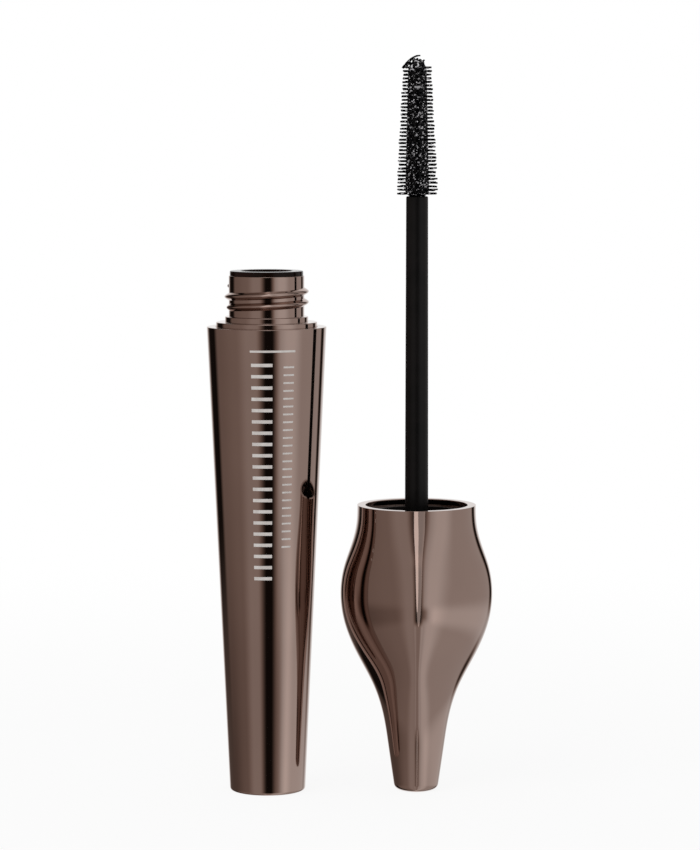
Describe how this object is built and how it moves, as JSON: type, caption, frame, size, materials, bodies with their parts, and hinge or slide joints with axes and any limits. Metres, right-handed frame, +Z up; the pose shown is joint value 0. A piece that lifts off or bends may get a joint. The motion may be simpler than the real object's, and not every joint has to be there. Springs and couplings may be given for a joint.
{
  "type": "mascara tube",
  "caption": "Open mascara tube: tapered metallised bottle with a threaded neck, and its ridged bulb-shaped cap standing beside it with wand and brush.",
  "frame": {"origin": "centre of the bottle's flat base, on the bottle's axis", "axes": "+Z up along the bottle's axis, +X from the bottle towards the cap that stands beside it, -Y is the front"},
  "size_m": [0.0478, 0.0254, 0.1234],
  "materials": {
    "bronze_metallised": "vacuum metallised, gunmetal bronze, mirror gloss",
    "wiper_rubber": "glossy, wet with product",
    "formula_black": "wet black paste",
    "inner_cap_black": "moulded, satin",
    "gasket_rubber": "smooth",
    "rod_black": "moulded, satin black",
    "brush_black": "moulded, wet gloss black"
  },
  "bodies": {
    "bottle": {"outer_sleeve": "bronze_metallised", "vial": "bronze_metallised", "wiper": "wiper_rubber", "mascara_formula": "formula_black"},
    "gasket": {"gasket": "gasket_rubber"},
    "cap": {"cap_shell": "bronze_metallised", "inner_cap": "inner_cap_black", "wand_rod": "rod_black", "brush": "brush_black"}
  },
  "joints": [
    {"name": "cap_lift", "type": "slide", "parent": "bottle", "child": "gasket", "axis": [0, 0, 1], "range_m": [0, 0.088]},
    {"name": "cap_turn", "type": "hinge", "parent": "gasket", "child": "cap", "pos_m": [0.02505, 0, 0.0386], "axis": [0, 0, 1], "range_deg": [0, 540]}
  ]
}
